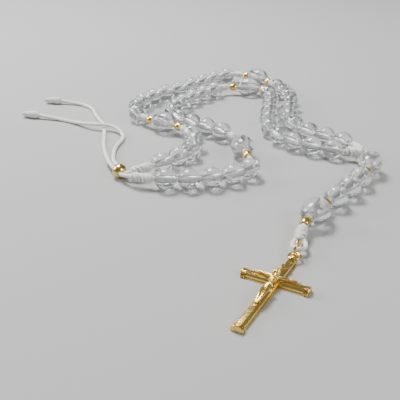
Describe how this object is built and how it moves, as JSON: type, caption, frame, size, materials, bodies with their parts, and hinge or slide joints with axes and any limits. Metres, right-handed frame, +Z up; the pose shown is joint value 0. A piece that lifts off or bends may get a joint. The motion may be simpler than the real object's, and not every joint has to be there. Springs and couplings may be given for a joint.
{
  "type": "rosary",
  "caption": "Rosary of clear round and oval beads on knotted white cord, with gold-tone spacers, a sliding clasp bead, two knotted tails and a crucifix on a jump ring.",
  "frame": {"origin": "On the surface the rosary lies on, under the middle of its beads and crucifix, tails left out.", "axes": "+Z up from that surface, +Y from the crucifix towards the far end of the bead loops, +X to the right with the crucifix nearest."},
  "size_m": [0.1611, 0.2349, 0.0096],
  "materials": {
    "glass_bead": "polished clear",
    "white_cord": "braided nylon",
    "gold_metal": "polished gold tone"
  },
  "bodies": {
    "root": {"cord_front": "white_cord", "cord_back": "white_cord", "junction_knot": "white_cord", "decade_front_a": "glass_bead", "decade_front_b": "glass_bead", "half_decade_front": "glass_bead", "decade_back_a": "glass_bead", "decade_back_b": "glass_bead", "half_decade_back": "glass_bead", "spacers_front_a": "gold_metal", "spacers_front_b": "gold_metal", "spacers_back_a": "gold_metal", "spacers_back_b": "gold_metal", "knot_front_a": "white_cord", "knot_front_b": "white_cord", "knot_back_a": "white_cord", "knot_back_b": "white_cord", "knot_back_c": "white_cord", "knot_back_d": "white_cord", "closure_knot_front": "white_cord", "closure_knot_back": "white_cord"},
    "pendant": {"cord_pendant": "white_cord", "spacer_pendant": "gold_metal"},
    "drop": {"spacer_bend": "gold_metal", "cord_drop": "white_cord", "spacer_drop": "gold_metal", "knot_pendant": "white_cord", "cord_loop": "white_cord"},
    "ring": {"jump_ring": "gold_metal"},
    "crucifix": {"crucifix_back_plate": "gold_metal", "crucifix_front": "gold_metal", "crucifix_end_caps": "gold_metal", "crucifix_eyelet": "gold_metal", "corpus": "gold_metal", "title_scroll": "gold_metal"},
    "tails": {"tail_right": "white_cord", "tail_left": "white_cord", "tail_knot_right": "white_cord", "tail_knot_left": "white_cord"},
    "clasp": {"clasp_slider": "gold_metal"},
    "large_bead_front_a": {"large_bead_front_a": "glass_bead"},
    "large_bead_front_b": {"large_bead_front_b": "glass_bead"},
    "large_bead_back_a": {"large_bead_back_a": "glass_bead"},
    "large_bead_back_b": {"large_bead_back_b": "glass_bead"},
    "large_bead_junction": {"large_bead_junction": "glass_bead"},
    "large_bead_cross": {"large_bead_cross": "glass_bead"},
    "pendant_bead_1": {"pendant_bead_1": "glass_bead"},
    "pendant_bead_2": {"pendant_bead_2": "glass_bead"},
    "pendant_bead_3": {"pendant_bead_3": "glass_bead"}
  },
  "joints": [
    {"name": "pendant_swing", "type": "hinge", "parent": "root", "child": "pendant", "pos_m": [0.0502, -0.0032, 0.0043], "axis": [0, 0, 1], "range_deg": [-15, 60]},
    {"name": "pendant_bend", "type": "hinge", "parent": "pendant", "child": "drop", "pos_m": [0.0253, -0.0504, 0.0043], "axis": [0, 0, 1], "range_deg": [-25, 25]},
    {"name": "ring_turn", "type": "hinge", "parent": "drop", "child": "ring", "pos_m": [0.01225, -0.07794, 0.00246], "axis": [0, 0, 1], "range_deg": [-6, 15]},
    {"name": "crucifix_lift", "type": "hinge", "parent": "ring", "child": "crucifix", "pos_m": [0.01174, -0.07886, 0.00315], "axis": [-0.8746, 0.4848, 0], "range_deg": [0, 100]},
    {"name": "tails_swing", "type": "hinge", "parent": "root", "child": "tails", "pos_m": [-0.0504, -0.0188, 0.0029], "axis": [0, 0, 1], "range_deg": [-5, 40]},
    {"name": "clasp_slide", "type": "slide", "parent": "tails", "child": "clasp", "axis": [-0.5, 0.866, 0], "range_m": [0, 0.0025]},
    {"name": "large_bead_front_a_spin", "type": "hinge", "parent": "root", "child": "large_bead_front_a", "pos_m": [0.00764, 0.08888, 0.0048], "axis": [-0.9751, 0.2219, 0], "continuous": true},
    {"name": "large_bead_front_b_spin", "type": "hinge", "parent": "root", "child": "large_bead_front_b", "pos_m": [-0.00082, 0.0023, 0.0048], "axis": [0.1804, -0.9836, 0], "continuous": true},
    {"name": "large_bead_back_a_spin", "type": "hinge", "parent": "root", "child": "large_bead_back_a", "pos_m": [0.01405, 0.10767, 0.0048], "axis": [-0.6981, 0.716, 0], "continuous": true},
    {"name": "large_bead_back_b_spin", "type": "hinge", "parent": "root", "child": "large_bead_back_b", "pos_m": [-0.03527, 0.03277, 0.0048], "axis": [0.8384, -0.5451, 0], "continuous": true},
    {"name": "large_bead_junction_spin", "type": "hinge", "parent": "pendant", "child": "large_bead_junction", "pos_m": [0.04899, -0.01545, 0.0048], "axis": [-0.3394, -0.9406, 0], "continuous": true},
    {"name": "large_bead_cross_spin", "type": "hinge", "parent": "drop", "child": "large_bead_cross", "pos_m": [0.02069, -0.05706, 0.0048], "axis": [-0.5719, -0.8203, -0.0033], "continuous": true},
    {"name": "pendant_bead_1_slide", "type": "slide", "parent": "pendant", "child": "pendant_bead_1", "axis": [-0.548, -0.8365, 0], "range_m": [-0.0004, 0.0008]},
    {"name": "pendant_bead_2_slide", "type": "slide", "parent": "pendant", "child": "pendant_bead_2", "axis": [-0.592, -0.8059, 0], "range_m": [-0.0008, 0.0008]},
    {"name": "pendant_bead_3_slide", "type": "slide", "parent": "pendant", "child": "pendant_bead_3", "axis": [-0.646, -0.7634, 0], "range_m": [-0.0008, 0.0006]}
  ]
}
